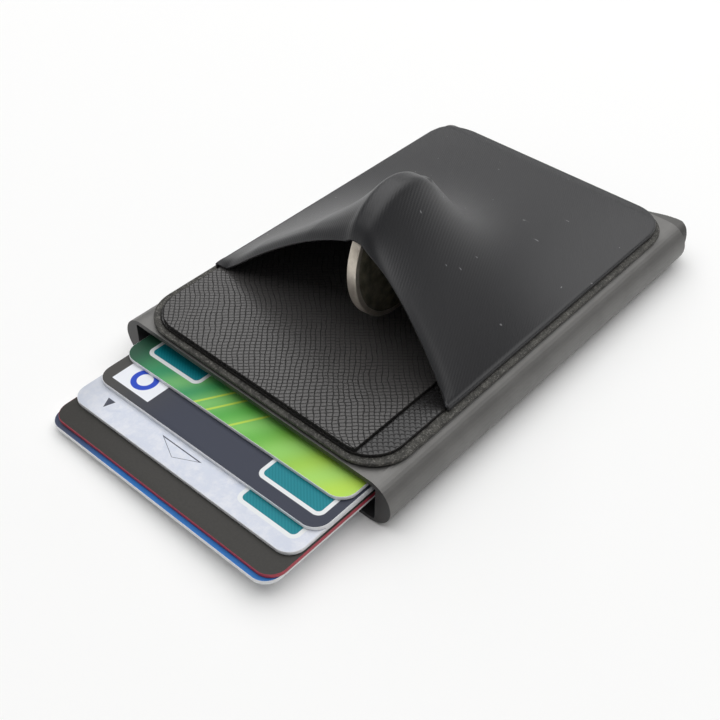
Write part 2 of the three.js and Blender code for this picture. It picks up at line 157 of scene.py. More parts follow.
# The coin, and its relief: height over the sunk field in millimetres
COIN_RADIUS = 12.4
COIN_THICKNESS = 1.85
COIN_TURN = 0.07
COIN_TILT = 0.07
COIN_RIM_WIDTH = 1.1
COIN_FIELD_DEPTH = 0.12
BEADS = {"radius": 10.6, "width": 0.3, "count": 48, "height": 0.09}
RING = {"radius": 8.6, "width": 0.25, "height": 0.07}
ROSETTE = {"radius": 7, "petals": 8, "waist": 0.35, "softness": 0.25, "height": 0.09}
COIN_STEPS = 240
COIN_RINGS = (0.6, 1.2, 2, 2.8, 3.6, 4.4, 5.2, 6, 6.6, 7, 7.4, 8, 8.35, 8.6, 8.85, 9.4, 10.1)
COIN_RINGS += (10.35, 10.6, 10.85, 11.1, 11.28, 11.34, 12.1)
COIN_EDGE = ((0.12, 0.0), (0.03, 0.08), (0.0, 0.22))  # (inset, depth) pairs round its edge

# Camera, placed from the middle of the open end
CAMERA_AT = (95.88, -81.47, 134.69)
CAMERA_TURN = math.radians(-40.99)
CAMERA_DOWN = math.radians(43.18)
CAMERA_ROLL = math.radians(0.98)
CAMERA_LENS = 52.75

# The stage and its light, in metres
FLOOR_SIZE = 8
FLOOR_DROP = 0.00002  # keeps the floor just clear of the sleeve's underside
FLOOR_GLOW = {"start": 0.4, "full": 2.2, "strength": 0.85}
CEILING_PLACE = (-0.15, 0.4, 1.3)
CEILING_SIZE = 2.6
CEILING_POWER = 34
ROOM_BRIGHT_SIDE = (-0.5, 0.1, 0.6)
ROOM_LEVELS = (3.2, 6.1)
WALL_LEVEL = 15
WALL_HEIGHTS = (0.06, 0.12)  # the walls' glow fades out between these sines of the elevation


def make_camera():
    camera = bpy.data.objects.new("camera", bpy.data.cameras.new("camera"))
    bpy.context.scene.collection.objects.link(camera)
    bpy.context.scene.camera = camera
    camera.data.lens = CAMERA_LENS
    camera.data.sensor_width = 36
    camera.data.clip_start = 0.01
    camera.data.clip_end = 10
    flat, down = math.cos(CAMERA_DOWN), math.sin(CAMERA_DOWN)
    forward = Vector((math.sin(CAMERA_TURN) * flat, math.cos(CAMERA_TURN) * flat, -down))
    right = Vector((math.cos(CAMERA_TURN), -math.sin(CAMERA_TURN), 0))
    up = right.cross(forward)
    rolled_right = math.cos(CAMERA_ROLL) * right + math.sin(CAMERA_ROLL) * up
    rolled_up = math.cos(CAMERA_ROLL) * up - math.sin(CAMERA_ROLL) * right
    turn = Matrix((rolled_right, rolled_up, -forward)).transposed().to_4x4()
    place = Vector(CAMERA_AT) + Vector((0, MOUTH, 0))
    camera.matrix_world = Matrix.Translation(place * MM) @ turn


def make_stage():
    """A pale floor that runs on out of sight, and a soft white room round it."""
    bpy.ops.mesh.primitive_plane_add(size=FLOOR_SIZE, location=(0, 0, -FLOOR_DROP))
    floor = bpy.context.object
    floor.name = "floor"
    floor.data.materials.append(pale_floor())
    make_room()
    make_softbox()
    bpy.context.scene.view_settings.view_transform = "Standard"


def make_room():
    """A white room: its walls glow along the horizon, and its ceiling is brighter on one side."""
    world = bpy.data.worlds.new("room")
    bpy.context.scene.world = world
    world.use_nodes = True
    nodes = Nodes(world.node_tree)
    direction = nodes.node("ShaderNodeTexCoord").outputs["Generated"]
    bright_side = Vector(ROOM_BRIGHT_SIDE).normalized()
    facing = nodes.vector_math("DOT_PRODUCT", direction, bright_side)["Value"]
    ceiling = nodes.remap(facing, 0.15, 1.0, *ROOM_LEVELS)
    walls = nodes.remap(nodes.split(direction)[2], *WALL_HEIGHTS, WALL_LEVEL, 0)
    background = world.node_tree.nodes["Background"]
    nodes.put(background.inputs["Strength"], nodes.math("ADD", ceiling, walls))


def make_softbox():
    light = bpy.data.objects.new("ceiling_softbox", bpy.data.lights.new("ceiling_softbox", "AREA"))
    light.data.shape = "SQUARE"
    light.data.size = CEILING_SIZE
    light.data.energy = CEILING_POWER
    light.location = CEILING_PLACE
    light.rotation_mode = "QUATERNION"
    light.rotation_quaternion = (-Vector(CEILING_PLACE)).to_track_quat("-Z", "Y")
    bpy.context.scene.collection.objects.link(light)


# ---- Materials ----


class Nodes:
    """Adds nodes to a tree one by one. Patterns and their places are in millimetres."""

    def __init__(self, tree):
        self.tree = tree

    def put(self, socket, value):
        """Sets a socket to a number or colour, or links an output to it."""
        if isinstance(value, bpy.types.NodeSocket):
            self.tree.links.new(value, socket)
        elif isinstance(value, (tuple, list)) and socket.type == "RGBA":
            socket.default_value = (*value[:3], 1)
        else:
            socket.default_value = value

    def node(self, kind, settings=(), **inputs):
        made = self.tree.nodes.new(kind)
        for key, value in dict(settings).items():
            setattr(made, key, value)
        for key, value in inputs.items():
            self.put(made.inputs[key.replace("_", " ")], value)
        return made

    def operate(self, kind, operation, values):
        made = self.node(kind, {"operation": operation})
        for socket, value in zip(made.inputs, values):
            self.put(socket, value)
        return made.outputs

    def math(self, operation, *values):
        return self.operate("ShaderNodeMath", operation, values)[0]

    def vector_math(self, operation, *values):
        return self.operate("ShaderNodeVectorMath", operation, values)

    def length(self, x, y):
        squares = self.math("ADD", self.math("POWER", x, 2), self.math("POWER", y, 2))
        return self.math("SQRT", squares)

    def mix(self, amount, first, second):
        made = self.node("ShaderNodeMix", {"data_type": "RGBA"})
        self.put(made.inputs[0], amount)
        self.put(made.inputs[6], first)
        self.put(made.inputs[7], second)
        return made.outputs[2]

    def place(self, offset=(0, 0, 0), turn=0.0, stretch=(1, 1, 1), uv=None):
        """Coordinates in millimetres, measured from offset, turned about Z and stretched."""
        if uv:
            source = self.node("ShaderNodeUVMap", {"uv_map": uv}).outputs[0]
            scale = 1.0
        else:
            source = self.node("ShaderNodeTexCoord").outputs["Object"]
            scale = 1 / MM
        steps = (
            {"Scale": (scale, scale, scale), "Location": [-value for value in offset]},
            {"Rotation": (0, 0, turn)},
            {"Scale": stretch},
        )
        for step in steps:
            made = self.node("ShaderNodeMapping", {"vector_type": "POINT"}, Vector=source, **step)
            source = made.outputs[0]
        return source

    def split(self, vector):
        made = self.node("ShaderNodeSeparateXYZ", Vector=vector)
        return made.outputs[0], made.outputs[1], made.outputs[2]

    def noise(self, where, size, detail=3.0, roughness=0.55, distortion=0.0):
        """Noise from 0 to 1 with features of that size."""
        made = self.node("ShaderNodeTexNoise", Vector=where, Scale=1 / size, Detail=detail)
        self.put(made.inputs["Roughness"], roughness)
        self.put(made.inputs["Distortion"], distortion)
        return made.outputs[0]

    def sway(self, where, size, detail, reach):
        """A drift to either side, reach wide in all, in waves of that size."""
        middled = self.math("SUBTRACT", self.noise(where, size, detail), 0.5)
        return self.math("MULTIPLY", middled, reach)

    def cells(self, where, size, dimensions="3D"):
        """Distance from scattered points that are about that far apart."""
        settings = {"voronoi_dimensions": dimensions}
        made = self.node("ShaderNodeTexVoronoi", settings, Vector=where, Scale=1 / size)
        return made.outputs["Distance"]

    def remap(self, value, low, high, to_low=0.0, to_high=1.0):
        """Turns the range low to high into to_low to to_high, easing in and out."""
        made = self.node("ShaderNodeMapRange", {"interpolation_type": "SMOOTHSTEP"}, Value=value)
        ends = {"From Min": low, "From Max": high, "To Min": to_low, "To Max": to_high}
        for name, number in ends.items():
            self.put(made.inputs[name], number)
        return made.outputs[0]

    def waves(self, value, pitch):
        """A smooth 0 to 1 wave of that pitch along value."""
        phase = self.math("MULTIPLY", value, 2 * math.pi / pitch)
        return self.math("MULTIPLY_ADD", self.math("SINE", phase), 0.5, 0.5)

    def groove(self, value, width, depth):
        """A groove of that share of the spacing at every whole number of value, depth deep."""
        place = self.math("ABSOLUTE", self.math("SUBTRACT", self.math("FRACT", value), 0.5))
        return self.math("MULTIPLY", self.remap(place, 0.5 - width, 0.5 - width / 4), depth)


class Look(Nodes):
    """A Principled material."""

    def __init__(self, name, color, roughness, metallic=0.0, specular=0.5):
        self.material = bpy.data.materials.new(name)
        self.material.use_nodes = True
        super().__init__(self.material.node_tree)
        self.shader = self.tree.nodes["Principled BSDF"]
        self.color(color)
        self.rough(roughness)
        self.set(Metallic=metallic, Specular_IOR_Level=specular)

    def color(self, value):
        self.put(self.shader.inputs["Base Color"], value)

    def rough(self, value):
        self.put(self.shader.inputs["Roughness"], value)

    def cloudy_roughness(self, where, size, detail, low, high):
        """Roughness that drifts between low and high in clouds of that size."""
        self.rough(self.remap(self.noise(where, size, detail), 0.3, 0.7, low, high))

    def set(self, **inputs):
        for key, value in inputs.items():
            self.shader.inputs[key.replace("_", " ")].default_value = value

    def bump(self, height, depth):
        """Raises the surface by depth millimetres where height is 1, on top of any bump before."""
        made = self.node("ShaderNodeBump", Height=height, Distance=depth * MM, Strength=1.0)
        before = self.shader.inputs["Normal"]
        if before.is_linked:
            self.put(made.inputs["Normal"], before.links[0].from_socket)
        self.put(before, made.outputs[0])


def anodised_metal(name, color):
    """Bead-blasted and anodised aluminium: a fine even grain with faint handling marks."""
    look = Look(name, color, 0.5, metallic=0.65)
    where = look.place()
    grain = look.noise(where, 0.09, 2)
    clouds = look.remap(look.noise(where, 9, 4), 0.3, 0.7)
    marks = look.noise(look.place(turn=0.5, stretch=(1, 0.08, 1)), 0.5, 3)
    dark, light = (tuple(share * part for part in color) for share in (0.93, 1.07))
    look.color(look.mix(look.remap(clouds, 0, 1), dark, light))
    look.rough(look.math("MULTIPLY_ADD", marks, 0.06, 0.48))
    look.bump(grain, 0.006)
    look.bump(look.remap(marks, 0.66, 0.75), 0.002)
    look.set(Coat_Weight=0.15, Coat_Roughness=0.35)
    return look.material


def pale_floor():
    """White paper, with a glow that takes over where the softbox no longer reaches."""
    look = Look("pale_floor", (0.94, 0.94, 0.935), 0.8, specular=0.2)
    x, y, _ = look.split(look.place())
    start, full = FLOOR_GLOW["start"] / MM, FLOOR_GLOW["full"] / MM
    glow = look.remap(look.length(x, y), start, full, 0.0, FLOOR_GLOW["strength"])
    look.put(look.shader.inputs["Emission Strength"], glow)
    look.set(Emission_Color=(1, 1, 1, 1))
    return look.material


def black_plastic(name="black_plastic"):
    """Moulded plastic with a fine spark-eroded grain."""
    look = Look(name, (0.017, 0.017, 0.018), 0.5)
    where = look.place()
    look.bump(look.cells(where, 0.18), 0.012)
    look.cloudy_roughness(where, 2.5, 4, 0.42, 0.6)
    return look.material


def bright_steel():
    look = Look("bright_steel", (0.62, 0.62, 0.6), 0.25, metallic=1.0)
    where = look.place(stretch=(1, 1, 0.1))
    look.cloudy_roughness(where, 0.2, 3, 0.18, 0.36)
    look.bump(look.noise(where, 0.15, 2), 0.003)
    return look.material


def felt():
    look = Look("black_felt", (0.014, 0.014, 0.015), 0.95, specular=0.2)
    where = look.place()
    fluff = look.noise(where, 0.25, 5, 0.7, 1.0)
    look.color(look.mix(fluff, (0.006, 0.006, 0.007), (0.03, 0.03, 0.032)))
    look.bump(fluff, 0.12)
    look.set(Sheen_Weight=0.4)
    return look.material


def adhesive():
    look = Look("adhesive_film", (0.03, 0.03, 0.03), 0.6)
    look.bump(look.noise(look.place(), 0.4, 3), 0.02)
    return look.material


def edge_band():
    """The satin band round the pad: painted leather board, rubbed along its edges."""
    look = Look("edge_band", (0.07, 0.068, 0.062), 0.5, specular=0.25)
    where = look.place()
    clouds = look.noise(where, 1.6, 5, 0.65)
    base = look.mix(look.remap(clouds, 0.35, 0.7), (0.033, 0.032, 0.029), (0.07, 0.068, 0.06))
    specks = look.noise(where, 0.28, 3, 0.7)
    look.color(look.mix(look.remap(specks, 0.5, 0.72, 0, 0.8), base, (0.26, 0.25, 0.23)))
    look.cloudy_roughness(where, 0.5, 3, 0.5, 0.7)
    look.bump(specks, 0.035)
    return look.material


def leather(name, dark, light, shine, turn, pitches, short_depth, scallop):
    """Cross-grain leather: plateaus parted by long wavy grooves and by short broken ones.

    turn is the direction across the long grooves in degrees, pitches are both kinds' spacings,
    short_depth is the short ones' depth where a long one's is 1, and scallop is how far a long one
    bends round each plateau, as a share of its pitch.
    """
    look = Look(name, dark, shine, specular=0.55)
    where = look.place()
    sway = look.sway(where, 16, 1, 4)
    shiver = look.sway(where, 2.2, 2, 0.68)
    along, across, _ = look.split(look.place(turn=math.radians(turn)))
    column = look.math("ADD", look.math("ADD", along, sway), shiver)
    column = look.math("DIVIDE", column, pitches[0])
    row = look.math("MULTIPLY_ADD", sway, 0.35, look.math("MULTIPLY_ADD", shiver, 0.5, across))
    row = look.math("DIVIDE", row, pitches[1])
    stagger = look.node("ShaderNodeTexWhiteNoise", {"noise_dimensions": "1D"})
    look.put(stagger.inputs["W"], look.math("FLOOR", column))
    row = look.math("ADD", row, look.math("MULTIPLY", stagger.outputs["Value"], 0.16))
    bow = look.math("ABSOLUTE", look.math("SINE", look.math("MULTIPLY", row, math.pi)))
    column = look.math("MULTIPLY_ADD", bow, scallop, column)
    fade = look.noise(where, 3.2, 2)
    long_depth = look.remap(fade, 0.3, 0.6, 0.5, 1.0)
    short_depth = look.remap(fade, 0.35, 0.7, short_depth, 0.45 * short_depth)
    deepest = look.math(
        "MAXIMUM", look.groove(column, 0.11, long_depth), look.groove(row, 0.13, short_depth)
    )
    height = look.math("SUBTRACT", 1.0, deepest)
    grit = look.noise(where, 0.22, 3)
    # Painted highlight and shade: the plateaus are painted lighter, as glints, and the grooves
    # darker, as shade in them; the grit varies the tone at random.
    lit_relief_and_grit = look.math("MULTIPLY", height, look.remap(grit, 0.3, 0.7, 0.75, 1.0))
    look.color(look.mix(lit_relief_and_grit, dark, light))
    look.rough(look.remap(height, 0.1, 0.9, shine + 0.3, shine))
    look.bump(height, 0.38)
    look.bump(grit, 0.03)
    return look.material


def cut_edge():
    """Dyed leather's cut edge: nearly black, with pale fibres showing through."""
    look = Look("leather_cut_edge", (0.012, 0.011, 0.01), 0.85, specular=0.2)
    fibres = look.noise(look.place(stretch=(1, 1, 3)), 0.45, 4, 0.7)
    look.color(look.mix(look.remap(fibres, 0.6, 0.72), (0.01, 0.0095, 0.009), (0.13, 0.11, 0.095)))
    look.bump(fibres, 0.08)
    return look.material


def elastic_cloth():
    """Black elastic twill: fine diagonal ribs that follow the stretch, a soft sheen and lint."""
    look = Look("elastic_cloth", (0.006, 0.006, 0.008), 0.45, specular=0.62)
    where = look.place(uv="cut")
    u, v, _ = look.split(where)
    rib = look.waves(look.math("MULTIPLY_ADD", v, 0.45, u), 0.46)
    thread = look.waves(look.math("MULTIPLY_ADD", u, -0.5, v), 0.3)
    weave = look.math("MULTIPLY_ADD", thread, 0.3, look.math("MULTIPLY", rib, 0.7))
    light = look.mix(look.noise(where, 6, 3), (0.005, 0.0052, 0.007), (0.0072, 0.0071, 0.0092))
    base = look.mix(look.remap(weave, 0.0, 0.7), (0.0042, 0.0044, 0.006), light)
    scatter = look.place(turn=0.7, uv="cut")
    bent = look.node("ShaderNodeTexNoise", Vector=scatter, Scale=0.15)
    hairs = look.vector_math("MULTIPLY_ADD", bent.outputs["Color"], (9, 9, 0), scatter)[0]
    lint = look.remap(look.cells(hairs, 11, "2D"), 0.008, 0.02, 0.5, 0.0)
    look.color(look.mix(lint, base, (0.4, 0.4, 0.41)))
    look.bump(weave, 0.02)
    look.set(Sheen_Weight=0.08, Sheen_Roughness=0.4)
    return look.material


def lining_painted_light():
    """The pocket's inner side: a smoother knit, painted paler as light inside the dark pocket."""
    look = Look("lining_painted_light", (0.13, 0.13, 0.145), 0.9, specular=0.2)
    u, v, _ = look.split(look.place(uv="cut"))
    loops = look.math("MULTIPLY", look.waves(u, 0.4), look.waves(v, 0.4))
    look.color(look.mix(loops, (0.1, 0.1, 0.115), (0.15, 0.15, 0.17)))
    look.bump(loops, 0.04)
    return look.material


def coin_metal(name, color, dirt, shine):
    look = Look(name, color, shine, metallic=0.85)
    where = look.place()
    look.color(look.mix(look.remap(look.noise(where, 2.6, 4, 0.6), 0.3, 0.7), dirt, color))
    look.cloudy_roughness(where, 0.6, 4, shine - 0.08, shine + 0.15)
    look.bump(look.noise(where, 0.2, 3), 0.01)
    return look.material


def card_core(name, color):
    """The cut edge of a card: layers of plastic sheet."""
    look = Look(name, color, 0.45)
    where = look.place(stretch=(0.2, 0.2, 1))
    layers = look.noise(where, 0.12, 2)
    look.color(look.mix(layers, tuple(0.8 * part for part in color), color))
    look.bump(layers, 0.01)
    return look.material


class Card(Look):
    """A card's laminated face. x and y are millimetres from the middle of its outer short edge."""

    def __init__(self, level, color):
        super().__init__(f"card_{level + 1}_print", color, 0.4, specular=0.22)
        offset = (CARD_SHIFT[level], MOUTH - CARD_OUT[level], 0)
        self.where = self.place(offset)
        self.x, self.y, _ = self.split(self.where)
        self.bump(self.noise(self.where, 0.5, 3), 0.004)

    def rectangle(self, left, right, low, high, corner):
        """1 inside a rounded rectangle and 0 outside it."""
        across = self.math("ABSOLUTE", self.math("SUBTRACT", self.x, (left + right) / 2))
        along = self.math("ABSOLUTE", self.math("SUBTRACT", self.y, (low + high) / 2))
        past_x = self.math("MAXIMUM", self.math("SUBTRACT", across, (right - left) / 2 - corner), 0)
        past_y = self.math("MAXIMUM", self.math("SUBTRACT", along, (high - low) / 2 - corner), 0)
        distance = self.math("SUBTRACT", self.length(past_x, past_y), corner)
        return self.remap(distance, -PRINT_BLUR, PRINT_BLUR, 1.0, 0.0)

    def triangle(self, left, right, low, high, tip, line=None):
        """1 inside a triangle whose point is down at (tip, low), or only along its outline."""
        up = self.math("DIVIDE", self.math("SUBTRACT", self.y, low), high - low)
        left_side = self.math("MULTIPLY_ADD", up, left - tip, tip)
        right_side = self.math("MULTIPLY_ADD", up, right - tip, tip)
        inside_left = self.math("SUBTRACT", self.x, left_side)
        inside_right = self.math("SUBTRACT", right_side, self.x)
        inside_top = self.math("SUBTRACT", high, self.y)
        inside = self.math("MINIMUM", self.math("MINIMUM", inside_left, inside_right), inside_top)
        filled = self.remap(inside, -0.03, 0.03)
        if line is None:
            return filled
        hollow = self.remap(inside, line - 0.04, line + 0.04, 1.0, 0.0)
        return self.math("MULTIPLY", filled, hollow)

    def ring(self, x, y, outer, inner):
        """1 between two circles round (x, y)."""
        across, along = self.math("SUBTRACT", self.x, x), self.math("SUBTRACT", self.y, y)
        distance = self.length(across, along)
        disc = self.remap(distance, outer - PRINT_BLUR, outer + PRINT_BLUR, 1.0, 0.0)
        hole = self.remap(distance, inner - PRINT_BLUR, inner + PRINT_BLUR)
        return self.math("MULTIPLY", disc, hole)

    def hologram_label(self, base, left, right, low, high):
        """A plain teal patch with a white border and fine bars."""
        border = self.rectangle(left, right, low, high, 1.5)
        patch = self.rectangle(left + 0.75, right - 0.75, low + 0.75, high - 0.75, 0.9)
        bars = self.waves(self.math("ADD", self.x, self.y), 0.7)
        teal = self.mix(self.math("MULTIPLY", bars, 0.25), (0.0, 0.2, 0.25), (0.02, 0.36, 0.4))
        return self.mix(patch, self.mix(border, base, (0.82, 0.84, 0.85)), teal)


def blue_card():
    look = Card(0, (0.03, 0.17, 0.5))
    side = look.remap(look.x, -24, -6)
    look.color(look.mix(side, (0.06, 0.075, 0.13), (0.02, 0.17, 0.52)))
    return look.material


def brown_card():
    look = Card(1, (0.042, 0.04, 0.036))
    specks = look.noise(look.where, 0.4, 4)
    look.color(look.mix(specks, (0.033, 0.032, 0.029), (0.052, 0.049, 0.045)))
    return look.material


def light_card():
    look = Card(2, (0.7, 0.73, 0.82))
    paper = look.noise(look.where, 2.5, 5, 0.7)
    color = look.mix(look.remap(paper, 0.35, 0.7), (0.66, 0.7, 0.8), (0.78, 0.8, 0.86))
    creases = look.remap(look.noise(look.place(turn=0.8, stretch=(1, 0.2, 1)), 1.2, 4), 0.62, 0.7)
    color = look.mix(look.math("MULTIPLY", creases, 0.25), color, (0.5, 0.56, 0.7))
    color = look.mix(look.triangle(-21.51, -19.65, 2.0, 4.15, -20.41), color, (0.05, 0.055, 0.08))
    outline = look.triangle(-7.5, 2.3, 2.0, 4.4, -2.47, line=0.2)
    color = look.mix(outline, color, (0.03, 0.033, 0.06))
    # Painted shade: the card darkens towards its left end.
    color = look.mix(look.remap(look.x, -27, -17, 0.32, 0.0), color, (0.3, 0.32, 0.36))
    look.color(look.hologram_label(color, 11.6, 24.9, 2.7, 11.5))
    return look.material


def slate_card():
    look = Card(3, (0.045, 0.05, 0.075))
    side = look.remap(look.x, -26, -8)
    color = look.mix(side, (0.075, 0.073, 0.07), (0.042, 0.048, 0.073))
    color = look.mix(look.rectangle(-24.6, -14.95, 1.85, 9.5, 0.15), color, (0.86, 0.88, 0.93))
    color = look.mix(look.ring(-19.6, 5.2, 2.6, 1.5), color, (0.02, 0.07, 0.55))
    look.color(look.hologram_label(color, 10.9, 25.0, 2.5, 11.0))
    return look.material


def green_card():
    """A landscape of greens: broad slanting bands with three thin yellow ones."""
    look = Card(4, (0.2, 0.45, 0.1))
    color = look.mix(look.remap(look.x, -26, -17), (0.03, 0.1, 0.06), (0.04, 0.3, 0.13))
    color = look.mix(look.remap(look.x, -14, 2), color, (0.12, 0.47, 0.07))
    color = look.mix(look.remap(look.x, 2, 25), color, (0.5, 0.76, 0.09))
    slant = look.math("MULTIPLY_ADD", look.y, -0.6, look.x)
    broad = look.math("MULTIPLY", look.waves(slant, 8.5), look.remap(look.x, -24, -10, 0.0, 0.45))
    color = look.mix(broad, color, (0.36, 0.75, 0.2))
    for middle in (-7.8, -4.8, 0.9):
        distance = look.math("ABSOLUTE", look.math("SUBTRACT", slant, middle))
        stripe = look.remap(distance, 0.12, 0.4, 0.7, 0.0)
        color = look.mix(stripe, color, (0.66, 0.8, 0.07))
    look.color(look.hologram_label(color, -23.9, -10.4, 2.9, 12))
    return look.material


# ---- Mesh helpers ----


def new_piece(name, points, faces, looks, node, body="wallet", indices=None, sharp=None):
    """A mesh object that stands for a CAD node. sharp is the angle in degrees of its hard edges."""
    mesh = bpy.data.meshes.new(name)
    mesh.from_pydata([tuple(np.array(point) * MM) for point in points], [], faces)
    for look in looks:
        mesh.materials.append(look)
    if indices is not None:
        mesh.polygons.foreach_set("material_index", indices)
    tidy = bmesh.new()
    tidy.from_mesh(mesh)
    bmesh.ops.recalc_face_normals(tidy, faces=tidy.faces)
    tidy.to_mesh(mesh)
    tidy.free()
    mesh.polygons.foreach_set("use_smooth", [True] * len(mesh.polygons))
    if sharp is not None:
        mesh.set_sharp_from_angle(angle=math.radians(sharp))
    piece = bpy.data.objects.new(name, mesh)
    bpy.context.scene.collection.objects.link(piece)
    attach(piece, body)
    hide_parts(node)
    return piece


def mark_edges_to_round(mesh, width, chosen):
    """Gives a bevel weight to the chosen sharp edges that have room to be rounded at both ends."""
    keys = [tuple(round(value / MM, 3) for value in vertex.co) for vertex in mesh.vertices]
    normals, shortest = {}, {}
    for face in mesh.polygons:
        for pair in face.edge_keys:
            ends = [keys[index] for index in pair]
            normals.setdefault(frozenset(ends), []).append(face.normal)
            length = math.dist(*ends)
            for end in ends:
                shortest[end] = min(length, shortest.get(end, length))
    weights = mesh.attributes.new("bevel_weight_edge", "FLOAT", "EDGE")
    for edge in mesh.edges:
        ends = [keys[index] for index in edge.vertices]
        beside = normals[frozenset(ends)]
        sharp = len(beside) == 2 and beside[0].angle(beside[1], 0) > SHARP_ANGLE
        roomy = min(shortest[end] for end in ends) > 2 * width
        if sharp and roomy and all(chosen(x, y) for x, y, _ in ends):
            weights.data[edge.index].value = 1.0


def at_bare_rims(x, y):
    """Whether a point is on the mouth's rim, or on the far rim outside the button's casting."""
    return y < MOUTH + RIM_DEPTH or (y > END - RIM_DEPTH and x < CASTING_LEFT)


def at_button_end(_, y):
    return y > END - INSERT_DEPTH


def set_material(piece, material):
    piece.data.materials.clear()
    piece.data.materials.append(material)


def join_faces(piece):
    """Joins a CAD mesh's faces, which are separate, so that other modifiers find its edges."""
    joined = piece.modifiers.new("join_faces", "WELD")
    joined.merge_threshold = JOIN_DISTANCE * MM


def dress(node, material, width=EDGE_ROUNDING, chosen=lambda x, y: True):
    """Gives a carried-over CAD node its material, and rounds its chosen sharp edges."""
    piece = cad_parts[node]
    set_material(piece, material)
    if width:
        mark_edges_to_round(piece.data, width, chosen)
        join_faces(piece)
        edge = piece.modifiers.new("round_edges", "BEVEL")
        edge.width = width * MM
        edge.segments = 3
        edge.limit_method = "WEIGHT"
        edge.harden_normals = True
    return piece


def round_button(material):
    """The button's casting, with every edge rounded as by tumbling."""
    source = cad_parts["push_button"]
    piece = bpy.data.objects.new("push_button_casting", source.data.copy())
    piece.matrix_world = source.matrix_world
    bpy.context.scene.collection.objects.link(piece)
    set_material(piece, material)
    join_faces(piece)
    skin = piece.modifiers.new("even_skin", "REMESH")
    skin.mode = "VOXEL"
    skin.voxel_size = 0.16 * MM
    skin.use_smooth_shade = True
    tumbled = piece.modifiers.new("tumbled", "SMOOTH")
    tumbled.factor = 0.5
    tumbled.iterations = 5
    fewer = piece.modifiers.new("fewer_faces", "DECIMATE")
    fewer.ratio = 0.3
    apply_modifiers(piece)
    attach(piece, "push_button")
    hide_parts("push_button")


def paint_shade_in_slot_and_ends(sleeve):
    """Painted shade: the card slot is black inside, and the sawn ends are darker than the outside.
    """
    sleeve.data.materials.append(black_plastic("slot_painted_shade"))
    sleeve.data.materials.append(anodised_metal("ends_painted_shade", (0.05, 0.049, 0.048)))
    for face in sleeve.data.polygons:
        x, y, z = sleeve.matrix_world @ face.center / MM
        if abs(face.normal.y) > 0.9 and not MOUTH + RIM_DEPTH < y < END - RIM_DEPTH:
            face.material_index = 2
        elif abs(x) < SLOT_HALF_WIDTH and SLOT_HEIGHTS[0] < z < SLOT_HEIGHTS[1]:
            face.material_index = 1


def rounded_outline(left, right, low, high, corner, steps=CORNER_STEPS):
    """Points round a rectangle with rounded corners, from its lower left anticlockwise."""
    inner_left, inner_right = left + corner, right - corner
    inner_low, inner_high = low + corner, high - corner
    points = []
    for x, y, start in (
        (inner_left, inner_low, math.pi),
        (inner_right, inner_low, 1.5 * math.pi),
        (inner_right, inner_high, 0),
        (inner_left, inner_high, 0.5 * math.pi),
    ):
        for step in range(steps + 1):
            angle = start + 0.5 * math.pi * step / steps
            points.append((x + corner * math.cos(angle), y + corner * math.sin(angle)))
    return np.array(points)


def subdivide(outline, longest):
    """Adds points so that no side of a closed outline is longer than that."""
    points = []
    for first, second in zip(outline, np.roll(outline, -1, axis=0)):
        pieces = max(1, math.ceil(np.linalg.norm(second - first) / longest))
        points += [first + (second - first) * step / pieces for step in range(pieces)]
    return np.array(points)


def plan_normals(outline):
    """Outward normals of a closed anticlockwise outline."""
    along = np.roll(outline, -1, axis=0) - np.roll(outline, 1, axis=0)
    normals = np.stack([along[:, 1], -along[:, 0]], axis=1)
    return normals / np.maximum(np.linalg.norm(normals, axis=1), 1e-9)[:, None]


def tube_faces(rings, count):
    """Faces that join each ring of count points to the next."""
    return [
        (low + k, low + (k + 1) % count, low + count + (k + 1) % count, low + count + k)
        for low in range(0, (rings - 1) * count, count)
        for k in range(count)
    ]


def layered_slab(outline, rings):
    """A closed solid: the outline at each (inset, z). Its last two faces are its bottom and top."""
    normals = plan_normals(outline)
    count = len(outline)
    points = []
    for inset, z in rings:
        points += [(x, y, z) for x, y in outline - normals * inset]
    faces = tube_faces(len(rings), count)
    faces.append(tuple(reversed(range(count))))
    faces.append(tuple(range(len(points) - count, len(points))))
    return points, faces


def rounded_rings(bottom, top, radius, steps=4):
    """(inset, z) pairs for a slab whose upper and lower edges are rounded."""
    lower, upper = [], []
    for step in range(steps + 1):
        angle = 0.5 * math.pi * step / steps
        sine, cosine = math.sin(angle), math.cos(angle)
        lower.append((radius * (1 - sine), bottom + radius * (1 - cosine)))
        upper.append((radius * (1 - cosine), top - radius * (1 - sine)))
    return lower + upper


def slab_in_box(node, corner, radius):
    """Points and faces of a slab with rounded corners and edges that fills a CAD node's box."""
    (left, near, bottom), (right, far, top) = box_mm(node)
    outline = rounded_outline(left, right, near, far, corner)
    return layered_slab(outline, rounded_rings(bottom, top, radius))


# ---- Cards ----


def make_card(level, face, core):
    """A card with rounded corners and softened edges, lying in its place in the tilted stack."""
    width, length, thickness = CARD_SIZE
    outline = rounded_outline(-width / 2, width / 2, 0, length, CARD_CORNER, 14)
    points, faces = layered_slab(outline, rounded_rings(0, thickness, CARD_EDGE_RADIUS, 2))
    turn = Matrix.Rotation(-STACK_ROLL, 4, "Y")
    bottom = STACK_UNDERSIDE + level * STACK_PITCH
    place = Vector((CARD_SHIFT[level], MOUTH - CARD_OUT[level], bottom))
    points = [turn @ (Vector(point) + place) for point in points]
    only_top = [1] * (len(faces) - 1) + [0]
    name, slot = f"card_{level + 1}", CARD_SLOTS[level]
    new_piece(f"{name}_laminate", points, faces, [face, core], name, name, only_top, sharp=50)


# ---- Pad ----


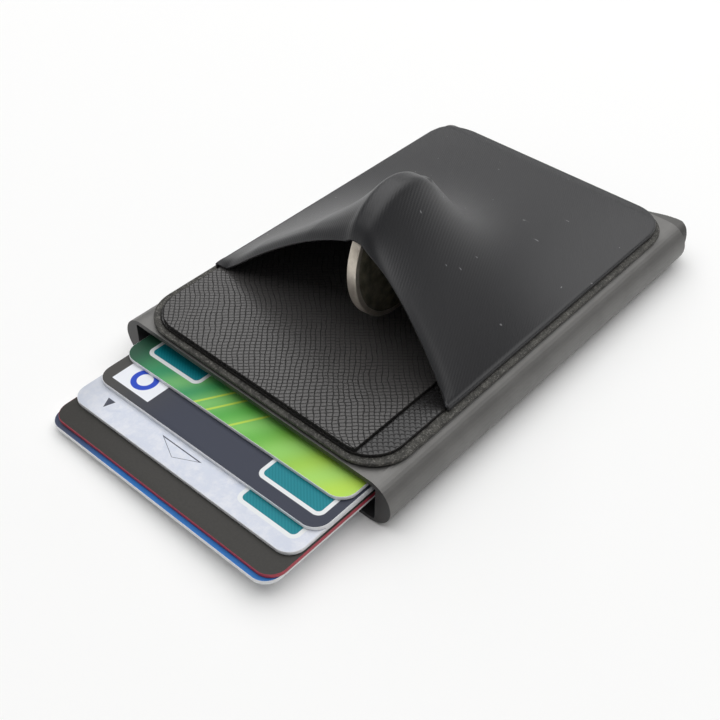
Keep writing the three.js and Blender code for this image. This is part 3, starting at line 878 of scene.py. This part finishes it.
def make_pad():
    points, faces = slab_in_box("backing_board", BOARD_CORNER, BOARD_EDGE_RADIUS)
    band = [edge_band()]
    new_piece("backing_board_edge", points, faces, band, "backing_board", sharp=60)

    edge = cut_edge()
    looks = [leather("lower_leather", **LOWER_GRAIN), edge]
    points, faces = slab_in_box("inner_leather", LEATHER_CORNER, LOWER_EDGE_RADIUS)
    make_leather_piece("inner_leather_layer", points, faces, looks, "inner_leather")

    looks = [leather("upper_leather", **UPPER_GRAIN), edge]
    points, faces = panel_slab()
    make_leather_piece("outer_leather_face", points, faces, looks, "outer_leather_panel")


def make_leather_piece(name, points, faces, looks, node):
    """A leather layer: the first look on its top and bottom, and the second on its cut edge."""
    over_edge = [1] * (len(faces) - 2) + [0, 0]
    new_piece(name, points, faces, looks, node, indices=over_edge, sharp=60)


def panel_slab():
    """Points and faces of the outer leather panel, with slightly uneven cut edges."""
    (left, near, bottom), (right, far, top) = box_mm("outer_leather_panel")
    radius = LEATHER_CORNER - PANEL_INSET
    corner_x = box_mm("inner_leather")[1][0] - PANEL_INSET - radius
    cut = math.acos((right - corner_x) / radius)
    outline = [(right, far), (left + radius, far)]
    for x, y, start, end in (
        (left + radius, far - radius, 0.5 * math.pi, math.pi),
        (left + radius, near + radius, math.pi, 1.5 * math.pi),
        (corner_x, near + radius, 1.5 * math.pi, 2 * math.pi - cut),
    ):
        for angle in np.linspace(start, end, CORNER_STEPS):
            outline.append((x + radius * math.cos(angle), y + radius * math.sin(angle)))
    outline = subdivide(np.array(outline), PANEL_POINT_SPACING)
    x, y = outline[:, 0], outline[:, 1]
    wave = np.sin(x * 5.3 + y * 4.1) + np.sin(y * 9.7 - x * 7)
    outline = outline - plan_normals(outline) * (PANEL_SIDE_WOBBLE * (1 + wave / 2))[:, None]
    return layered_slab(outline, rounded_rings(bottom, top, UPPER_EDGE_RADIUS))


# ---- Coin ----

coin_low, coin_high = box_mm("coin")
COIN_CENTRE = (coin_low + coin_high) / 2
COIN_NORMAL = (
    math.cos(COIN_TILT) * math.cos(COIN_TURN),
    math.cos(COIN_TILT) * math.sin(COIN_TURN),
    math.sin(COIN_TILT),
)


def bell(distance, width):
    """1 where distance is 0, and falling off smoothly to either side."""
    return math.exp(-((distance / width) ** 2))


def coin_relief(radius, angle):
    """How high the coin's face is next to its rim: beads, a ring and a rosette on a sunk field."""
    if radius > COIN_RADIUS - COIN_RIM_WIDTH:
        return 0.0
    beads = BEADS["height"] * bell(radius - BEADS["radius"], BEADS["width"])
    beads *= max(0.0, math.cos(BEADS["count"] * angle))
    ring = RING["height"] * bell(radius - RING["radius"], RING["width"])
    petal = abs(math.cos(ROSETTE["petals"] / 2 * angle))
    reach = ROSETTE["radius"] * (ROSETTE["waist"] + (1 - ROSETTE["waist"]) * petal)
    flower = ROSETTE["height"] / (1 + math.exp((radius - reach) / ROSETTE["softness"]))
    return beads + flower + ring - COIN_FIELD_DEPTH


def make_coin():
    half = COIN_THICKNESS / 2
    turns = [2 * math.pi * step / COIN_STEPS for step in range(COIN_STEPS)]
    upper = [[(r, half + coin_relief(r, angle)) for angle in turns] for r in COIN_RINGS]
    upper += [[(COIN_RADIUS - inset, half - depth)] * COIN_STEPS for inset, depth in COIN_EDGE]
    rows = upper + [[(radius, -z) for radius, z in row] for row in reversed(upper)]
    points = [
        (radius * math.cos(angle), radius * math.sin(angle), z)
        for row in rows
        for angle, (radius, z) in zip(turns, row)
    ]
    middle = half - COIN_FIELD_DEPTH + ROSETTE["height"]
    points += [(0, 0, middle), (0, 0, -middle)]
    faces = tube_faces(len(rows), COIN_STEPS)
    first_rim = len(COIN_RINGS) - 2
    last_rim = len(rows) - 2 - first_rim
    indices = []
    for row in range(len(rows) - 1):
        indices += [1 if first_rim <= row <= last_rim else 0] * COIN_STEPS
    last = (len(rows) - 1) * COIN_STEPS
    for step in range(COIN_STEPS):
        after = (step + 1) % COIN_STEPS
        faces.append((len(points) - 2, after, step))
        faces.append((len(points) - 1, last + step, last + after))
        indices += [0, 0]
    turn = Vector(COIN_NORMAL).to_track_quat("Z", "Y").to_matrix()
    points = [turn @ Vector(point) + Vector(COIN_CENTRE) for point in points]
    looks = [
        coin_metal("coin_face", (0.42, 0.38, 0.28), (0.16, 0.15, 0.1), 0.45),
        coin_metal("coin_rim", (0.78, 0.71, 0.62), (0.58, 0.52, 0.44), 0.38),
    ]
    new_piece("coin_struck", points, faces, looks, "coin", indices=indices, sharp=50)


# ---- Stretched cloth ----

PANEL_RIGHT, PANEL_FAR, PANEL_TOP = box_mm("outer_leather_panel")[1]
INNER_TOP = box_mm("inner_leather")[1][2]
CLOTH_FAR = box_mm("elastic_pocket")[1][1] - 0.05
CLOTH_BASE = INNER_TOP + CLOTH_GAP + CLOTH_THICKNESS


def arch_height(x):
    """The free edge's height at x: flat on the leather, then up to a crest on the coin."""
    on_left = x < CREST_X
    foot = np.where(on_left, OPENING_LEFT_FLAT - CLOTH_HALF_WIDTH, CLOTH_HALF_WIDTH)
    t = np.clip((x - foot) / (CREST_X - foot), 0, 1)
    curve = np.where(on_left, *OPENING_CURVES)
    return CLOTH_BASE + (CREST_Z - CLOTH_BASE) * (1 - (1 - t) ** curve)


def support_height(x, y):
    """The lowest that the cloth's outer face may be: over the pad, the coin and the taut ridge."""
    fade = np.clip((x - PANEL_RIGHT) / PAD_STEP_WIDTH, 0, 1)
    fade = np.maximum(fade, np.clip((y - PANEL_FAR) / PAD_STEP_WIDTH, 0, 1))
    z = PANEL_TOP + (INNER_TOP - PANEL_TOP) * fade + CLOTH_GAP + CLOTH_THICKNESS
    along = y - COIN_CENTRE[1]
    up = np.sqrt(np.maximum(0, COIN_RADIUS**2 - along**2))
    plane = COIN_CENTRE[0] - along * math.tan(COIN_TURN) - up * math.sin(COIN_TILT)
    beside = np.abs(x - plane) - COIN_THICKNESS / 2
    shoulder = SHOULDER_DROP * np.clip(beside / SHOULDER_WIDTH, 0, 1) ** 2
    over_coin = COIN_CENTRE[2] + up + RIM_CLEARANCE + CLOTH_THICKNESS - shoulder
    z = np.where((up > 0) & (beside < SHOULDER_WIDTH), np.maximum(z, over_coin), z)
    share = (y - MOUTH - RIDGE["start"]) / (RIDGE["end"] - RIDGE["start"])
    beside_ridge = np.abs(x - RIDGE["x"] - share * (RIDGE["end_x"] - RIDGE["x"]))
    ridge = RIDGE["z"] + share * (RIDGE["end_z"] - RIDGE["z"])
    on_ridge = (share >= 0) & (share <= 1) & (beside_ridge < RIDGE_HALF_WIDTH)
    return np.where(on_ridge, np.maximum(z, ridge), z)


def stretch_membrane(x, y):
    """Heights of an elastic membrane held at its edges over its supports, by relaxation."""
    floor = support_height(x, y)
    z = floor.copy()
    z[:, 0] = np.maximum(arch_height(x[:, 0]), floor[:, 0])
    left = x[1:-1, 1:-1] - x[:-2, 1:-1]
    right = x[2:, 1:-1] - x[1:-1, 1:-1]
    near = y[1:-1, 1:-1] - y[1:-1, :-2]
    far = y[1:-1, 2:] - y[1:-1, 1:-1]
    pull = 1 / (left * right) + 1 / (near * far)
    column, row = np.indices(z.shape)
    halves = [((column + row) % 2 == part)[1:-1, 1:-1] for part in (0, 1)]
    inner = z[1:-1, 1:-1]
    for _ in range(MEMBRANE_PASSES):
        for chosen in halves:
            across = (z[:-2, 1:-1] / left + z[2:, 1:-1] / right) / (left + right)
            along = (z[1:-1, :-2] / near + z[1:-1, 2:] / far) / (near + far)
            moved = inner + OVER_RELAXATION * ((across + along) / pull - inner)
            inner[chosen] = np.maximum(moved, floor[1:-1, 1:-1])[chosen]
    return z


def cloth_grid():
    """The cloth's outer face: x, y and z on a grid whose rows start at the free edge."""
    half = CLOTH_HALF_WIDTH - CLOTH_EDGE_RADIUS
    x = np.linspace(-half, half, CLOTH_COLUMNS)
    start = MOUTH + OPENING_SIDE + OPENING_LEAN * (arch_height(x) - CLOTH_BASE)
    hem = np.array(HEM_ROWS)
    body = np.linspace(0, 1, CLOTH_ROWS + 1)[1:]
    far_border = CLOTH_FAR - CLOTH_EDGE_RADIUS
    y = np.empty((len(x), len(hem) + len(body)))
    for i, near in enumerate(start):
        y[i] = np.concatenate([near + hem, near + hem[-1] + (far_border - near - hem[-1]) * body])
    grid_x = np.repeat(x[:, None], y.shape[1], axis=1)
    z = stretch_membrane(grid_x, y)
    round_far_corners(x, y, z, half, far_border)
    edge_distance = (y - y[:, :1]) / np.sqrt(1 + OPENING_LEAN**2)
    return grid_x, y, z + hem_height(z, edge_distance) + left_roll_height(grid_x, edge_distance)


def round_far_corners(x, y, z, half, far_border):
    """Draws each column in to the pad's rounded far corners, in place."""
    radius = CLOTH_FAR_CORNER - CLOTH_EDGE_RADIUS
    past = np.maximum(0, np.abs(x) - (half - radius))
    far = far_border - radius + np.sqrt(radius**2 - past**2)
    for i in range(len(x)):
        share = (y[i] - y[i, 0]) / (y[i, -1] - y[i, 0])
        rounded = y[i, 0] + share * (far[i] - y[i, 0])
        z[i] = np.interp(rounded, y[i], z[i])
        y[i] = rounded


def hem_height(z, edge_distance):
    """The hem stands a little proud, and rolls down at its free edge where the cloth is lifted."""
    step = np.clip((HEM_WIDTH - edge_distance) / HEM_STEP, 0, 1)
    roll = np.clip(1 - edge_distance / HEM_ROLL_WIDTH, 0, 1)
    lifted = np.clip((z - CLOTH_BASE) / LIFT_HEIGHT, 0, 1)
    return HEM_RISE * step * step * (3 - 2 * step) - HEM_DROP * lifted * roll * roll


def left_roll_height(x, edge_distance):
    right_fade = np.clip((CREST_X - LEFT_ROLL["past_crest"] - x) / LEFT_ROLL["right_fade"], 0, 1)
    left_fade = np.clip((x + CLOTH_HALF_WIDTH) / LEFT_ROLL["left_fade"], 0, 1)
    inward = edge_distance / LEFT_ROLL["width"]
    return LEFT_ROLL["height"] * right_fade * left_fade * inward * np.exp(1 - inward)


def make_cloth():
    """The pocket's sheet: the stretched face, rolled down over the pad's sides and far end."""
    x, y, z = cloth_grid()
    columns, rows = x.shape
    points = [tuple(point) for point in np.stack([x, y, z], axis=2).reshape(-1, 3)]
    cut = list(zip(x.ravel(), y.ravel()))
    index = np.arange(columns * rows).reshape(columns, rows)
    faces = [
        (index[i, j], index[i + 1, j], index[i + 1, j + 1], index[i, j + 1])
        for i in range(columns - 1)
        for j in range(rows - 1)
    ]
    before = list(index[0, :]) + list(index[1:-1, -1]) + list(index[-1, ::-1])
    border = np.array([points[k] for k in before])
    along = np.gradient(border[:, :2], axis=0)
    outward = np.stack([-along[:, 1], along[:, 0]], axis=1)
    outward /= np.linalg.norm(outward, axis=1)[:, None]
    outward[:2] = (-1, 0)
    outward[-2:] = (1, 0)
    bottom = box_mm("elastic_pocket")[0][2] + 0.05
    for degrees in (*TURN_DOWN, None):
        if degrees is None:
            out, heights = CLOTH_EDGE_RADIUS, [bottom] * len(border)
        else:
            turn = math.radians(degrees)
            out = CLOTH_EDGE_RADIUS * math.sin(turn)
            heights = border[:, 2] - CLOTH_EDGE_RADIUS * (1 - math.cos(turn))
        ring = range(len(points), len(points) + len(border))
        points += [
            (*(place[:2] + normal * out), height)
            for place, normal, height in zip(border, outward, heights)
        ]
        cut += [tuple(flat) for flat in border[:, :2] + outward * out * TURNED_LENGTH]
        for k in range(len(ring) - 1):
            faces.append((before[k], before[k + 1], ring[k + 1], ring[k]))
        before = ring
    looks = [elastic_cloth(), lining_painted_light()]
    cloth = new_piece("pocket_cloth", points, faces, looks, "elastic_pocket")
    layer = cloth.data.uv_layers.new(name="cut")
    for loop in cloth.data.loops:
        layer.data[loop.index].uv = cut[loop.vertex_index]
    thicken(cloth, CLOTH_THICKNESS - 0.02)


def thicken(piece, thickness):
    """Gives a sheet its thickness below its face, as part of its mesh."""
    shell = piece.modifiers.new("thickness", "SOLIDIFY")
    shell.thickness = thickness * MM
    shell.offset = -1
    shell.use_even_offset = False
    shell.use_rim = True
    shell.material_offset = 1
    apply_modifiers(piece)


def apply_modifiers(piece):
    graph = bpy.context.evaluated_depsgraph_get()
    shown = piece.evaluated_get(graph)
    made = bpy.data.meshes.new_from_object(shown, preserve_all_data_layers=True, depsgraph=graph)
    piece.modifiers.clear()
    piece.data = made


# ---- Spring ----


def make_spring():
    """A round-wire coil with closed ends."""
    (left, near, bottom), (right, far, top) = box_mm("return_spring")
    wire = 0.18  # the wire's radius
    coil = (right - left) / 2 - wire
    turns, per_turn, sides = 8, 24, 10
    centre_x, centre_z = (left + right) / 2, (bottom + top) / 2
    points = []
    count = turns * per_turn
    for step in range(count + 1):
        angle = 2 * math.pi * step / per_turn
        y = near + wire + (far - near - 2 * wire) * step / count
        for side in range(sides):
            turn = 2 * math.pi * side / sides
            reach = coil + wire * math.cos(turn)
            x, z = centre_x + math.cos(angle) * reach, centre_z + math.sin(angle) * reach
            points.append((x, y + wire * math.sin(turn), z))
    faces = tube_faces(count + 1, sides)
    faces.append(tuple(range(sides)))
    faces.append(tuple(range(count * sides, (count + 1) * sides)))
    looks = [bright_steel()]
    spring = new_piece("return_spring_coil", points, faces, looks, "return_spring")
    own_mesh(spring)


make_camera()
make_stage()
metal = anodised_metal("anodised_sleeve", (0.165, 0.162, 0.156))
# The button's metal is darker than the sleeve's: partly its own colour, partly painted shade for
# the dark gap round its end at the far corner.
button_metal_and_shade = anodised_metal("anodised_button_and_shade", (0.1, 0.098, 0.094))
plastic = black_plastic()
soft_strip = felt()
paint_shade_in_slot_and_ends(dress("case_sleeve", metal, chosen=at_bare_rims))
round_button(button_metal_and_shade)
dress("end_cap", plastic, 0.07, at_button_end)
dress("ejector_lever", plastic, None)
dress("lever_pin", bright_steel(), 0.05)
dress("lower_brake_felt", soft_strip, 0.3)
dress("upper_brake_felt", soft_strip, 0.3)
dress("adhesive_film", adhesive(), 0.05)
make_pad()
white_core = card_core("white_core", (0.88, 0.89, 0.91))
red_core = card_core("red_core", (0.42, 0.035, 0.06))
card_faces = (blue_card(), brown_card(), light_card(), slate_card(), green_card())
for card_level, card_face in enumerate(card_faces):
    make_card(card_level, card_face, red_core if card_level == 1 else white_core)
make_coin()
make_cloth()
make_spring()
